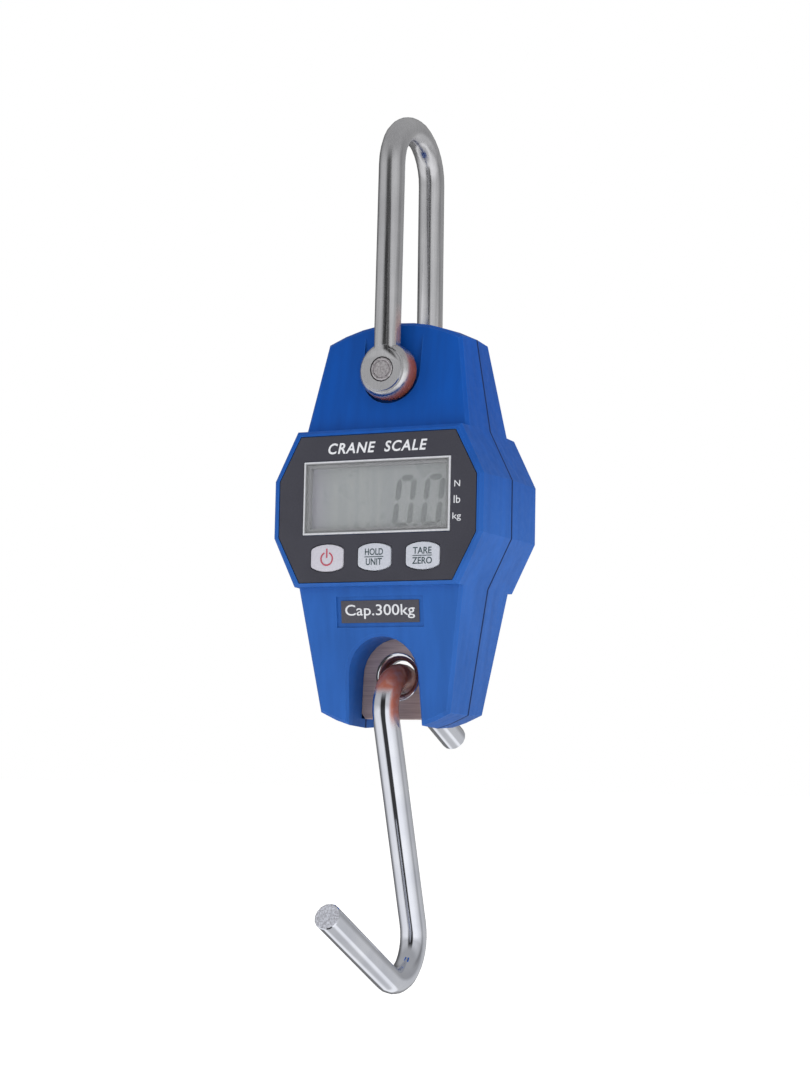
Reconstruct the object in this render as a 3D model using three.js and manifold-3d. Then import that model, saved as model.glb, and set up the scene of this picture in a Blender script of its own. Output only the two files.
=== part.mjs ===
// Hanging crane scale: forged shackle on a cross pin, two-part housing round a plate load cell,
// display panel with three keys, and an S-hook turning in an eyelet at the foot of the cell.
// Millimetres, Z up. The origin is where a lifting hook bears inside the shackle crown.
import * as THREE from "three";
import { mergeVertices } from "three/addons/utils/BufferGeometryUtils.js";
import Module from "manifold-3d";

const wasm = await Module();
wasm.setup();

// Driving dimensions.
const rodRadius = 5;
const crownRadius = 17.3;
const legSpread = 18.3;
const pinHeight = -91.6;
const pinRadius = 4.5;
const eyeRadius = 10.8;
const eyeInnerFace = 13.2;
const eyeOuterFace = 22.6;
const legInnerFace = 16.3;
const pocketRadius = 12.0;
const pocketFloor = 12.3;
const pocketWall = 2.2;

const wall = 2.5;
const seamGap = 0.15;
const draft = 0.7;
const edgeBevel = 1.2;
const topPeak = -72.0;
const topCornerX = 27.9;
const topCornerZ = -78.9;
const bandTop = -114.0;
const bandUpperZ = -132.5;
const bandLowerZ = -154.0;
const bandBottom = -172.6;
const bandHalf = 43.2;
const bandEndHalf = 34.0;
const bandDepth = 25.0;
const footCornerX = 26.8;
const footCornerZ = -218.9;
const footPeak = -225.7;
const topDepth = 12.6;
const shoulderDepth = 18.1;
const waistDepth = 21.2;
const footDepth = 15.0;

const panelTop = -116.3;
const panelBottom = -171.1;
const panelFace = 24.95;
const panelThick = 0.8;
const windowHalf = 30.3;
const windowTop = -125.8;
const windowBottom = -153.3;
const buttonHeight = -162.1;
const buttonPitch = 19.7;
const buttonHalfX = 6.75;
const buttonHalfZ = 5.1;
const boardFront = -16.6;
const boardBack = -15.0;

const eyeletHeight = -205.3;
const throatRadius = 6.25;
const notchRadius = 14.4;
const notchFootHalf = 15.3;
const plateHalf = 3.5;
const plateNeckHalf = 12.0;
const plateFootHalf = 17.0;
const plateFoot = -221.0;
const plateBore = 8.1;

const cellRadius = 5.15;
const cellLength = 44.5;
const cellPitch = 11.2;
const cellY = 14.5;
const cellMidZ = -143.0;
const doorHalf = 25.2;
const doorTop = -125.4;
const doorBottom = -160.4;
const doorHingeY = 23.75;

const hookUpper = { y: -1.7, z: -216.9, r: 11.8, tilt: 25.5, arm: 48.0 };
const hookLower = { y: -1.4, z: -302.2, r: 15.2, tilt: 27.2, arm: 53.0 };

const caseScrews = [[22, -88], [-22, -88], [37, -143], [-37, -143], [21, -212], [-21, -212]];
const boardScrews = [[30, -120], [-30, -120], [30, -166.5], [-30, -166.5]];
const cellScrews = [[7.5, -109], [-7.5, -109]];

// Materials.
function material(colour, roughness, metalness) {
  return new THREE.MeshStandardMaterial({ color: colour, roughness, metalness });
}
const steel = material("#a9aaae", 0.28, 1.0);
const chrome = material("#d4d7de", 0.08, 1.0);
const blue = material("#0f4aa6", 0.42, 0.0);
const cellMetal = material("#7d7371", 0.4, 0.9);
const panelBlack = material("#2c2e33", 0.35, 0.0);
const white = material("#e6e8ea", 0.4, 0.0);
const glass = material("#a6b0ae", 0.08, 0.0);
const lcd = material("#8f9794", 0.15, 0.0);
const keyGrey = material("#cfcbe0", 0.4, 0.0);
const greenBoard = material("#1d6a3c", 0.45, 0.0);
const blackPlastic = material("#1b1c1f", 0.5, 0.0);
const rubber = material("#3a3b3f", 0.8, 0.0);
const zinc = material("#b9bcc0", 0.3, 1.0);
const wireRed = material("#a8231d", 0.5, 0.0);
const copper = material("#b8824a", 0.35, 0.6);
const wrapper = material("#2f3b46", 0.35, 0.1);

// Solid helpers.
function solid(geometry) {
  let plain = geometry.clone();
  plain.deleteAttribute("normal");
  plain.deleteAttribute("uv");
  plain = mergeVertices(plain, 1e-4);
  return new wasm.Manifold(new wasm.Mesh({
    numProp: 3,
    vertProperties: new Float32Array(plain.attributes.position.array),
    triVerts: new Uint32Array(plain.index.array),
  }));
}

function geometryOf(body) {
  const mesh = body.getMesh();
  const geometry = new THREE.BufferGeometry();
  geometry.setAttribute("position", new THREE.BufferAttribute(new Float32Array(mesh.vertProperties), 3));
  geometry.setIndex(new THREE.BufferAttribute(new Uint32Array(mesh.triVerts), 1));
  const faceted = geometry.toNonIndexed();
  faceted.computeVertexNormals();
  return faceted;
}

// Skin over a stack of equal rings, closed with a fan at both ends; every ring is convex.
function ringSolid(rings) {
  const count = rings[0].length;
  const flat = rings.flat(2);
  const index = [];
  for (let r = 0; r + 1 < rings.length; r += 1) {
    for (let i = 0; i < count; i += 1) {
      const a = r * count + i;
      const b = r * count + ((i + 1) % count);
      index.push(a, b, b + count, a, b + count, a + count);
    }
  }
  const last = (rings.length - 1) * count;
  for (let i = 1; i + 1 < count; i += 1) {
    index.push(0, i + 1, i, last, last + i, last + i + 1);
  }
  let volume = 0;
  const at = (k) => new THREE.Vector3(flat[3 * k], flat[3 * k + 1], flat[3 * k + 2]);
  for (let t = 0; t < index.length; t += 3) {
    volume += at(index[t]).dot(at(index[t + 1]).cross(at(index[t + 2])));
  }
  if (volume < 0) {
    index.reverse();
  }
  const geometry = new THREE.BufferGeometry();
  geometry.setAttribute("position", new THREE.Float32BufferAttribute(flat, 3));
  geometry.setIndex(index);
  return solid(geometry);
}

function boxAt(x0, x1, y0, y1, z0, z1) {
  const box = new THREE.BoxGeometry(x1 - x0, y1 - y0, z1 - z0);
  box.translate((x0 + x1) / 2, (y0 + y1) / 2, (z0 + z1) / 2);
  return solid(box);
}

function rodAlongY(radius, y0, y1, x, z, sides = 24) {
  const rod = new THREE.CylinderGeometry(radius, radius, y1 - y0, sides);
  rod.translate(x, (y0 + y1) / 2, z);
  return solid(rod);
}

function rodAlongX(radius, x0, x1, y, z, sides = 16) {
  const rod = new THREE.CylinderGeometry(radius, radius, x1 - x0, sides);
  rod.rotateZ(Math.PI / 2);
  rod.translate((x0 + x1) / 2, y, z);
  return solid(rod);
}

// Turned part about an axis along Y; the profile is [radius, y] pairs.
function turned(profile, x, z, sides) {
  const points = profile.map(([r, y]) => new THREE.Vector2(r, y));
  const lathe = new THREE.LatheGeometry(points, sides);
  lathe.translate(x, 0, z);
  let body = solid(lathe);
  if (body.volume() < 0) {
    const flipped = mergeVertices(lathe.clone());
    flipped.index.array.reverse();
    body = solid(flipped);
  }
  return body;
}

// Plate cut to an outline of [x, z] points, between two Y positions.
function plateOf(outline, y0, y1, holes = []) {
  const shape = new THREE.Shape(outline.map(([x, z]) => new THREE.Vector2(x, z)));
  for (const hole of holes) {
    shape.holes.push(new THREE.Path(hole.map(([x, z]) => new THREE.Vector2(x, z))));
  }
  const plate = new THREE.ExtrudeGeometry(shape, { depth: y1 - y0, bevelEnabled: false });
  plate.rotateX(Math.PI / 2);
  plate.translate(0, y1, 0);
  return solid(plate);
}

function arcPoints(cx, cz, radius, from, to, steps) {
  const points = [];
  for (let i = 0; i <= steps; i += 1) {
    const angle = THREE.MathUtils.degToRad(from + ((to - from) * i) / steps);
    points.push([cx + radius * Math.cos(angle), cz + radius * Math.sin(angle)]);
  }
  return points;
}

// Convex outline moved outward by a distance (inward when negative), corners mitred.
function grown(outline, distance) {
  const area = outline.reduce((sum, [x, z], i) => {
    const [u, w] = outline[(i + 1) % outline.length];
    return sum + x * w - u * z;
  }, 0);
  const side = area > 0 ? 1 : -1;
  const count = outline.length;
  return outline.map(([x, z], i) => {
    const [ax, az] = outline[(i + count - 1) % count];
    const [bx, bz] = outline[(i + 1) % count];
    const first = new THREE.Vector2(z - az, ax - x).normalize().multiplyScalar(side);
    const second = new THREE.Vector2(bz - z, x - bx).normalize().multiplyScalar(side);
    const middle = first.clone().add(second).normalize();
    const reach = distance / middle.dot(first);
    return [x + middle.x * reach, z + middle.y * reach];
  });
}

// Body whose rings follow an outline; each layer is [growth, depth as a function of z].
function layered(outline, layers, side) {
  return ringSolid(layers.map(([growth, depth]) =>
    grown(outline, growth).map(([x, z]) => [x, side * depth(z), z])));
}

// Key outline: upright sides, softly rounded corners, bowed top and foot.
function barrel(cx, cz, halfX, halfZ) {
  const bowedTop = [[1, 0.5], [0.975, 0.64], [0.9, 0.73], [0.66, 0.87], [0.34, 0.965], [0, 1],
    [-0.34, 0.965], [-0.66, 0.87], [-0.9, 0.73], [-0.975, 0.64], [-1, 0.5]];
  const bowedFoot = bowedTop.map(([u, w]) => [-u, -w]);
  return [...bowedTop, ...bowedFoot].map(([u, w]) => [cx + halfX * u, cz + halfZ * w]);
}

function rectangle(x0, x1, z0, z1) {
  return [[x0, z0], [x1, z0], [x1, z1], [x0, z1]];
}

// Round bar along a path in the YZ plane; each station is [y, z, halfAcross, halfInPlane].
function sweptBar(stations, sides, endRound) {
  const count = stations.length;
  const rings = [];
  const tangentAt = (i) => {
    const [ay, az] = stations[Math.max(i - 1, 0)];
    const [by, bz] = stations[Math.min(i + 1, count - 1)];
    return new THREE.Vector2(by - ay, bz - az).normalize();
  };
  const ringAt = (i, shift, shrink) => {
    const [y, z, across, inPlane] = stations[i];
    const along = tangentAt(i);
    const ring = [];
    for (let k = 0; k < sides; k += 1) {
      const angle = (2 * Math.PI * k) / sides;
      const u = (across - shrink) * Math.cos(angle);
      const v = (inPlane - shrink) * Math.sin(angle);
      ring.push([u, y + along.x * shift - along.y * v, z + along.y * shift + along.x * v]);
    }
    return ring;
  };
  if (endRound > 0) {
    rings.push(ringAt(0, 0, endRound));
    rings.push(ringAt(0, endRound, 0));
  } else {
    rings.push(ringAt(0, 0, 0));
  }
  for (let i = 1; i + 1 < count; i += 1) {
    rings.push(ringAt(i, 0, 0));
  }
  if (endRound > 0) {
    rings.push(ringAt(count - 1, -endRound, 0));
    rings.push(ringAt(count - 1, 0, endRound));
  } else {
    rings.push(ringAt(count - 1, 0, 0));
  }
  return ringSolid(rings);
}

const group = new THREE.Group();
function place(name, body, surface) {
  const mesh = new THREE.Mesh(body.isBufferGeometry ? body : geometryOf(body), surface);
  mesh.name = name;
  group.add(mesh);
}

// Shackle and pin.
function makeShackle() {
  const stations = [];
  const legFoot = pinHeight + 6;
  stations.push([-legSpread, legFoot, rodRadius, rodRadius]);
  for (let i = 0; i <= 16; i += 1) {
    const angle = Math.PI - (Math.PI * i) / 16;
    stations.push([crownRadius * Math.cos(angle),
      rodRadius - crownRadius + crownRadius * Math.sin(angle), rodRadius, rodRadius]);
  }
  stations.push([legSpread, legFoot, rodRadius, rodRadius]);
  let body = sweptBar(stations, 16, 0);
  // the legs are planed on the inside, and struck flat outside just above each eye
  const inner = legInnerFace;
  const planed = [[-inner, -110], [inner, -110], [inner, -80], [inner - 3.2, -74],
    [-inner + 3.2, -74], [-inner, -80]];
  body = body.subtract(ringSolid([-9, 9].map((x) => planed.map(([y, z]) => [x, y, z]))));
  for (const side of [-1, 1]) {
    const near = side * eyeOuterFace;
    const far = side * (eyeOuterFace + 4);
    body = body.subtract(boxAt(-9, 9, Math.min(near, far), Math.max(near, far), -110, pinHeight + 9.0));
  }
  for (const side of [-1, 1]) {
    const rim = [[0, eyeInnerFace], [9.6, eyeInnerFace], [10.4, eyeInnerFace + 0.6],
      [eyeRadius, eyeInnerFace + 1.7], [eyeRadius, eyeOuterFace - 4.4], [10.5, eyeOuterFace - 2.6],
      [9.8, eyeOuterFace - 1.3], [8.9, eyeOuterFace - 0.6], [8.3, eyeOuterFace - 0.6],
      [8.0, eyeOuterFace], [0, eyeOuterFace]];
    body = body.add(turned(rim.map(([r, y]) => [r, side * y]), 0, pinHeight, 24));
    const bore = rodAlongY(pinRadius + 0.3, eyeInnerFace - 3, eyeOuterFace + 2, 0, pinHeight, 16);
    body = body.subtract(side > 0 ? bore : bore.mirror([0, 1, 0]));
  }
  return body;
}

function makeLoadPin() {
  const end = eyeOuterFace + 0.25;
  const half = [[3.3, end - 0.5], [3.6, end - 0.5], [3.6, end - 0.1], [3.9, end], [4.2, end - 0.1],
    [pinRadius, end - 0.5]];
  const front = half.map(([r, y]) => [r, -y]);
  const back = [...half].reverse();
  return turned([[0, -end + 0.1], [3.1, -end + 0.1], ...front, ...back, [3.1, end - 0.1],
    [0, end - 0.1]], 0, pinHeight, 16);
}

function makeSleeve(side) {
  const start = side * (plateHalf + 0.4);
  const stop = side * (pocketFloor - pocketWall - 0.4);
  const outer = rodAlongY(6.6, Math.min(start, stop), Math.max(start, stop), 0, pinHeight, 16);
  return outer.subtract(rodAlongY(pinRadius + 0.3, -12, 12, 0, pinHeight, 16));
}

// Housing.
function upperOutline() {
  const rise = topPeak - topCornerZ;
  const radius = (topCornerX ** 2 + rise ** 2) / (2 * rise);
  const spread = THREE.MathUtils.radToDeg(Math.asin(topCornerX / radius));
  const arc = arcPoints(0, topPeak - radius, radius, 90 - spread, 90 + spread, 8);
  return [[bandEndHalf, bandTop - 6], [bandEndHalf, bandTop], ...arc, [-bandEndHalf, bandTop],
    [-bandEndHalf, bandTop - 6]];
}

function lowerOutline() {
  const sag = footCornerZ - footPeak;
  const radius = (footCornerX ** 2 + sag ** 2) / (2 * sag);
  const spread = THREE.MathUtils.radToDeg(Math.asin(footCornerX / radius));
  const arc = arcPoints(0, footPeak + radius, radius, 270 - spread, 270 + spread, 8);
  return [[-bandEndHalf, bandBottom + 6], [-bandEndHalf, bandBottom], ...arc,
    [bandEndHalf, bandBottom], [bandEndHalf, bandBottom + 6]];
}

function bandOutline() {
  return [[bandEndHalf, bandTop], [-bandEndHalf, bandTop], [-bandHalf, bandUpperZ],
    [-bandHalf, bandLowerZ], [-bandEndHalf, bandBottom], [bandEndHalf, bandBottom],
    [bandHalf, bandLowerZ], [bandHalf, bandUpperZ]];
}

function upperDepth(z) {
  return topDepth + ((topCornerZ - z) * (shoulderDepth - topDepth)) / (topCornerZ - bandTop);
}

function lowerDepth(z) {
  return waistDepth - ((bandBottom - z) * (waistDepth - footDepth)) / (bandBottom - footCornerZ);
}

function outerBody(side) {
  const lump = (outline, depth) => layered(outline, [
    [draft, () => seamGap],
    [0, (z) => depth(z) - edgeBevel],
    [-edgeBevel, depth],
  ], side);
  return lump(upperOutline(), upperDepth)
    .add(lump(bandOutline(), () => bandDepth))
    .add(lump(lowerOutline(), lowerDepth));
}

function innerSpace(side) {
  const hollow = (outline, depth) => layered(outline, [
    [-wall, () => -1],
    [-wall - 0.3, (z) => depth(z) - wall],
  ], side);
  return hollow(upperOutline(), upperDepth)
    .add(hollow(bandOutline(), () => bandDepth))
    .add(hollow(lowerOutline(), lowerDepth));
}

function notchOutline(growth) {
  const arch = arcPoints(0, eyeletHeight, notchRadius + growth, 0, 180, 14);
  return [...arch, [-notchFootHalf - growth, footPeak - 6], [notchFootHalf + growth, footPeak - 6]];
}

function notchCut(side) {
  return layered(notchOutline(0), [
    [0, () => -2],
    [0, (z) => lowerDepth(z) - 1.0],
    [2.0, (z) => lowerDepth(z) + 1.0],
  ], side);
}

// Seat for a shackle eye: round under the pin, open upward, with a flat floor.
function eyePocket(side, growth) {
  const reach = pocketRadius + growth;
  const outline = [...arcPoints(0, pinHeight, reach, 180, 360, 16), [reach, topPeak + 4],
    [-reach, topPeak + 4]];
  const floor = side * (pocketFloor - growth);
  return plateOf(outline, Math.min(floor, side * 30), Math.max(floor, side * 30));
}

function shellBlank(side) {
  const outer = outerBody(side).subtract(eyePocket(side, 0));
  let shell = outer.subtract(innerSpace(side).subtract(eyePocket(side, pocketWall)));
  const jamb = layered(notchOutline(wall), [
    [0, () => plateHalf + 0.3],
    [0, (z) => lowerDepth(z) + 1],
  ], side).intersect(outer);
  shell = shell.add(jamb).subtract(notchCut(side));
  const bore = rodAlongY(pinRadius + 0.5, 4, 30, 0, pinHeight, 16);
  return shell.subtract(side > 0 ? bore : bore.mirror([0, 1, 0]));
}

function panelOctagon(growth) {
  return grown([[32.0, panelTop], [-32.0, panelTop], [-40.6, -132.8], [-40.6, -153.9],
    [-31.5, panelBottom], [31.5, panelBottom], [40.6, -153.9], [40.6, -132.8]], growth);
}

function buttonCentres() {
  return [-buttonPitch, 0, buttonPitch];
}

function labelPlate(halfX, halfZ, out, back) {
  const centreZ = -181.9;
  const slope = Math.atan((waistDepth - footDepth) / (bandBottom - footCornerZ));
  const plate = new THREE.BoxGeometry(2 * halfX, out + back, 2 * halfZ);
  plate.translate(0, (back - out) / 2, 0);
  plate.rotateX(slope);
  plate.translate(0, -lowerDepth(centreZ), centreZ);
  return solid(plate);
}

function makeFrontShell() {
  let shell = shellBlank(-1);
  const inside = (z) => (z > bandTop ? upperDepth(z) : z < bandBottom ? lowerDepth(z) : bandDepth);
  for (const [x, z] of caseScrews) {
    const depth = inside(z) - 1.6;
    shell = shell.add(rodAlongY(3.4, -depth, -0.2, x, z, 10));
    shell = shell.subtract(rodAlongY(1.8, -depth + 1.6, 1, x, z, 8));
  }
  for (const [x, z] of boardScrews) {
    shell = shell.add(rodAlongY(2.4, -bandDepth + 1.8, boardFront - 0.25, x, z, 8));
    shell = shell.subtract(rodAlongY(1.35, -bandDepth + 3, boardFront + 1, x, z, 8));
  }
  for (const [x, z] of cellScrews) {
    shell = shell.add(rodAlongY(2.8, -upperDepth(z) + 1.6, -plateHalf - 0.3, x, z, 10));
    shell = shell.subtract(rodAlongY(1.65, -upperDepth(z) + 4, 0, x, z, 8));
  }
  shell = shell.subtract(plateOf(panelOctagon(0.3), -bandDepth - 1, -panelFace + 0.95));
  const sight = rectangle(-windowHalf + 1.6, windowHalf - 1.6, windowBottom + 1.6, windowTop - 1.6);
  shell = shell.subtract(plateOf(sight, -30, -bandDepth + wall + 1));
  for (const x of buttonCentres()) {
    const hole = barrel(x, buttonHeight, buttonHalfX + 0.4, buttonHalfZ + 0.4);
    shell = shell.subtract(plateOf(hole, -30, -bandDepth + wall + 1));
  }
  return shell.subtract(labelPlate(18.0, 5.85, 3, 0.6));
}

function makeRearShell() {
  const outer = outerBody(1);
  let shell = shellBlank(1);
  for (const [x, z] of caseScrews) {
    const boss = rodAlongY(3.4, 0.2, 8, x, z, 10).add(rodAlongY(4.4, 5, 26, x, z, 12));
    shell = shell.add(boss.intersect(outer));
    shell = shell.subtract(rodAlongY(3.2, 8, 30, x, z, 14));
    shell = shell.subtract(rodAlongY(1.8, -1, 9, x, z, 8));
  }
  const gap = 0.35;
  const hatch = rectangle(-doorHalf - gap, doorHalf + gap, doorBottom - gap, doorTop);
  shell = shell.subtract(plateOf(hatch, 18, 30));
  const swingRoom = rectangle(-doorHalf - gap, doorHalf + gap, doorTop - 1, doorTop + 1.45);
  shell = shell.subtract(plateOf(swingRoom, doorHingeY, 30));
  shell = shell.subtract(rodAlongX(1.45, -doorHalf - gap, doorHalf + gap, doorHingeY, doorTop));
  shell = shell.subtract(rodAlongX(0.95, -doorHalf - 2.2, doorHalf + 2.2, doorHingeY, doorTop, 12));
  const thumb = new THREE.SphereGeometry(9, 14, 8);
  thumb.translate(0, bandDepth + 7.4, doorBottom - 1.5);
  return shell.subtract(solid(thumb)).intersect(boxAt(-60, 60, 0, 60, -240, -60));
}

// Display panel.
function makePanel() {
  const holes = [rectangle(-windowHalf - 0.2, windowHalf + 0.2, windowBottom - 0.2, windowTop + 0.2)];
  for (const x of buttonCentres()) {
    holes.push(barrel(x, buttonHeight, buttonHalfX + 0.3, buttonHalfZ + 0.3));
  }
  return plateOf(panelOctagon(0), -panelFace, -panelFace + panelThick, holes);
}

function makeWindowFrame() {
  const outer = rectangle(-windowHalf, windowHalf, windowBottom, windowTop);
  const inner = rectangle(-windowHalf + 1, windowHalf - 1, windowBottom + 1, windowTop - 1);
  return plateOf(outer, -panelFace - 0.25, -panelFace + 0.75, [inner]);
}

function makeWindow() {
  const edge = 1.25;
  const pane = rectangle(-windowHalf + edge, windowHalf - edge, windowBottom + edge, windowTop - edge);
  return plateOf(pane, -panelFace + 0.05, -panelFace + 0.75);
}

function makeButton(x) {
  const z = buttonHeight;
  const side = (growth, y) => barrel(x, z, buttonHalfX + growth, buttonHalfZ + growth)
    .map(([px, pz]) => [px, y, pz]);
  const cap = ringSolid([side(-0.45, -25.5), side(-0.12, -25.38), side(0, -25.1), side(0, -22.0)]);
  const flange = plateOf(barrel(x, z, buttonHalfX + 1.3, buttonHalfZ + 1.3), -22.25, -21.4);
  const stem = rodAlongY(1.6, -21.8, -20.4, x, z, 12);
  return cap.add(flange).add(stem);
}

function makeGlassCell() {
  return boxAt(-31.5, 31.5, -22.2, -19.4, -154.8, -124.2)
    .subtract(boxAt(-40, 40, -23, -20.8, -160, -152.9));
}

function makeBacklight() {
  return boxAt(-30.5, 30.5, -19.1, -17.0, -151.2, -127.8);
}

function makeZebra(z) {
  return boxAt(-28, 28, -19.15, -16.85, z - 1.0, z + 1.0);
}

function makeBoard() {
  const outline = [[27, -117.6], [-27, -117.6], [-33.2, -123], [-33.6, -163], [-29.5, -169.3],
    [29.5, -169.3], [33.6, -163], [33.2, -123]];
  const board = plateOf(outline, boardFront, boardBack);
  return boardScrews.reduce((rest, [x, z]) => rest.subtract(rodAlongY(1.3, -20, -10, x, z, 12)), board);
}

function makeScrew(x, z, headTop, headThick, headRadius, shankRadius, length) {
  const rim = 0.3;
  let screw = turned([[0, headTop], [headRadius - rim, headTop], [headRadius, headTop - rim],
    [headRadius, headTop - headThick], [shankRadius, headTop - headThick],
    [shankRadius, headTop - length + 0.6], [shankRadius * 0.4, headTop - length],
    [0, headTop - length]], x, z, 10);
  const arm = headRadius * 0.62;
  const slot = headRadius * 0.16;
  const deep = headTop - headThick * 0.55;
  screw = screw.subtract(boxAt(x - arm, x + arm, deep, headTop + 1, z - slot, z + slot));
  return screw.subtract(boxAt(x - slot, x + slot, deep, headTop + 1, z - arm, z + arm));
}

function makeSwitch(x) {
  const body = boxAt(x - 3, x + 3, -19.1, boardFront - 0.25, buttonHeight - 3, buttonHeight + 3);
  return body.add(rodAlongY(1.7, -19.7, -18.5, x, buttonHeight, 12));
}

// Load cell, eyelet and hook.
function makeLoadCell() {
  const lug = arcPoints(0, pinHeight, plateNeckHalf, 0, 180, 12);
  const half = plateNeckHalf;
  const outline = [...lug, [-half, -186], [-plateFootHalf, -193], [-plateFootHalf, -216.5],
    [-13.5, plateFoot], [13.5, plateFoot], [plateFootHalf, -216.5], [plateFootHalf, -193], [half, -186]];
  let cell = plateOf(outline, -plateHalf, plateHalf);
  cell = cell.subtract(rodAlongY(pinRadius + 0.3, -9, 9, 0, pinHeight));
  cell = cell.subtract(rodAlongY(plateBore, -9, 9, 0, eyeletHeight, 24));
  cell = cell.subtract(rodAlongY(6.2, -9, 9, 0, -134, 14));
  cell = cell.subtract(rodAlongY(6.2, -9, 9, 0, -152, 14));
  cell = cell.subtract(boxAt(-1.2, 1.2, -9, 9, -152, -134));
  for (const [x, z] of cellScrews) {
    cell = cell.subtract(rodAlongY(1.7, -9, 9, x, z, 12));
  }
  return cell;
}

function makeEyelet() {
  const lipHalf = 4.2;
  const flare = 2.6;
  const throat = [];
  for (let i = -4; i <= 4; i += 1) {
    const angle = (Math.PI / 2) * (i / 4);
    throat.push([throatRadius + flare * (1 - Math.cos(angle)), lipHalf * Math.sin(angle)]);
  }
  const section = [...throat, [9.1, 4.0], [9.0, 3.7], [7.8, 3.7], [7.8, -3.7], [9.0, -3.7], [9.1, -4.0]];
  return turned([...section, section[0]], 0, eyeletHeight, 28);
}

function hookStations() {
  const up = hookUpper;
  const low = hookLower;
  const reach = Math.hypot(low.y - up.y, low.z - up.z);
  const lean = Math.atan2(low.z - up.z, low.y - up.y) - Math.acos((up.r + low.r) / reach);
  const upTilt = THREE.MathUtils.degToRad(up.tilt);
  const lowTilt = THREE.MathUtils.degToRad(low.tilt);
  const path = [];
  const upArm = [up.y + up.r * Math.sin(upTilt), up.z + up.r * Math.cos(upTilt)];
  path.push([upArm[0] + up.arm * Math.cos(upTilt), upArm[1] - up.arm * Math.sin(upTilt)]);
  const start = Math.PI / 2 - upTilt;
  const finish = lean + 2 * Math.PI;
  for (let i = 0; i <= 14; i += 1) {
    const angle = start + ((finish - start) * i) / 14;
    path.push([up.y + up.r * Math.cos(angle), up.z + up.r * Math.sin(angle)]);
  }
  const enter = lean + Math.PI;
  const leave = (-Math.PI / 2) - lowTilt;
  for (let i = 0; i <= 14; i += 1) {
    const angle = enter + ((leave - enter) * i) / 14;
    path.push([low.y + low.r * Math.cos(angle), low.z + low.r * Math.sin(angle)]);
  }
  const lowArm = path[path.length - 1];
  path.push([lowArm[0] - low.arm * Math.cos(lowTilt), lowArm[1] + low.arm * Math.sin(lowTilt)]);
  return path.map(([y, z]) => [y, z, rodRadius, rodRadius]);
}

function makeGauge(side) {
  const near = side * (plateNeckHalf + 0.15);
  const far = side * (plateNeckHalf + 0.75);
  return boxAt(Math.min(near, far), Math.max(near, far), -2.6, 2.6, -152, -134);
}

function makeWire(points, radius) {
  const curve = new THREE.CatmullRomCurve3(points.map(([x, y, z]) => new THREE.Vector3(x, y, z)));
  const section = new THREE.Shape();
  section.absarc(0, 0, radius, 0, 2 * Math.PI, false);
  return new THREE.ExtrudeGeometry(section, { steps: 8, curveSegments: 4, extrudePath: curve });
}

// Battery bay.
function cellHeights() {
  return [cellMidZ + cellPitch, cellMidZ, cellMidZ - cellPitch];
}

function makeTray() {
  const top = cellMidZ + 1.5 * cellPitch + 0.4;
  const foot = cellMidZ - 1.5 * cellPitch - 0.4;
  let tray = boxAt(-27.1, 27.1, 6.5, 22.1, foot - 1.4, top + 1.4);
  tray = tray.subtract(boxAt(-25.6, 25.6, 8, 30, foot, top));
  for (const z of [cellMidZ + cellPitch / 2, cellMidZ - cellPitch / 2]) {
    tray = tray.add(boxAt(-25.8, 25.8, 7.5, 11.2, z - 0.5, z + 0.5));
  }
  return tray;
}

function makeBattery(z, way) {
  const start = -19.8;
  const stop = start + cellLength;
  const profile = [[0, start], [4.6, start], [cellRadius, start + 0.5], [cellRadius, stop - 1.5],
    [4.7, stop - 1.0], [2.0, stop - 1.0], [1.9, stop], [0, stop]];
  const lathe = new THREE.LatheGeometry(profile.map(([r, y]) => new THREE.Vector2(r, y)), 14);
  lathe.rotateZ(way > 0 ? -Math.PI / 2 : Math.PI / 2);
  lathe.translate(0, cellY, z);
  const body = solid(lathe);
  return body.volume() > 0 ? body : solid(flippedFaces(lathe));
}

function flippedFaces(geometry) {
  const flipped = mergeVertices(geometry.clone());
  flipped.index.array.reverse();
  return flipped;
}

function makeSpring(z, way) {
  const points = [];
  for (let i = 0; i <= 24; i += 1) {
    const t = i / 24;
    const angle = 2 * Math.PI * 2.5 * t;
    const radius = 3.4 - 1.3 * t;
    points.push(new THREE.Vector3(-way * (24.9 - 4.2 * t), cellY + radius * Math.cos(angle),
      z + radius * Math.sin(angle)));
  }
  const section = new THREE.Shape();
  section.absarc(0, 0, 0.35, 0, 2 * Math.PI, false);
  const curve = new THREE.CatmullRomCurve3(points);
  return new THREE.ExtrudeGeometry(section, { steps: 22, curveSegments: 3, extrudePath: curve });
}

function makeContact(z, way) {
  return boxAt(Math.min(way * 25.0, way * 25.4), Math.max(way * 25.0, way * 25.4),
    cellY - 3.6, cellY + 3.6, z - 4.2, z + 4.2);
}

function makeDoor() {
  const back = bandDepth - 0.05;
  let door = boxAt(-doorHalf, doorHalf, back - 2.15, back, doorBottom, doorTop - 0.4);
  door = door.add(rodAlongX(1.15, -doorHalf, doorHalf, doorHingeY, doorTop));
  door = door.add(rodAlongX(0.65, -doorHalf - 1.8, doorHalf + 1.8, doorHingeY, doorTop, 12));
  for (let i = 0; i < 5; i += 1) {
    const z = doorBottom + 4 + 1.8 * i;
    door = door.subtract(boxAt(-8, 8, back - 0.5, back + 1, z - 0.4, z + 0.4));
  }
  return door;
}

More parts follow.
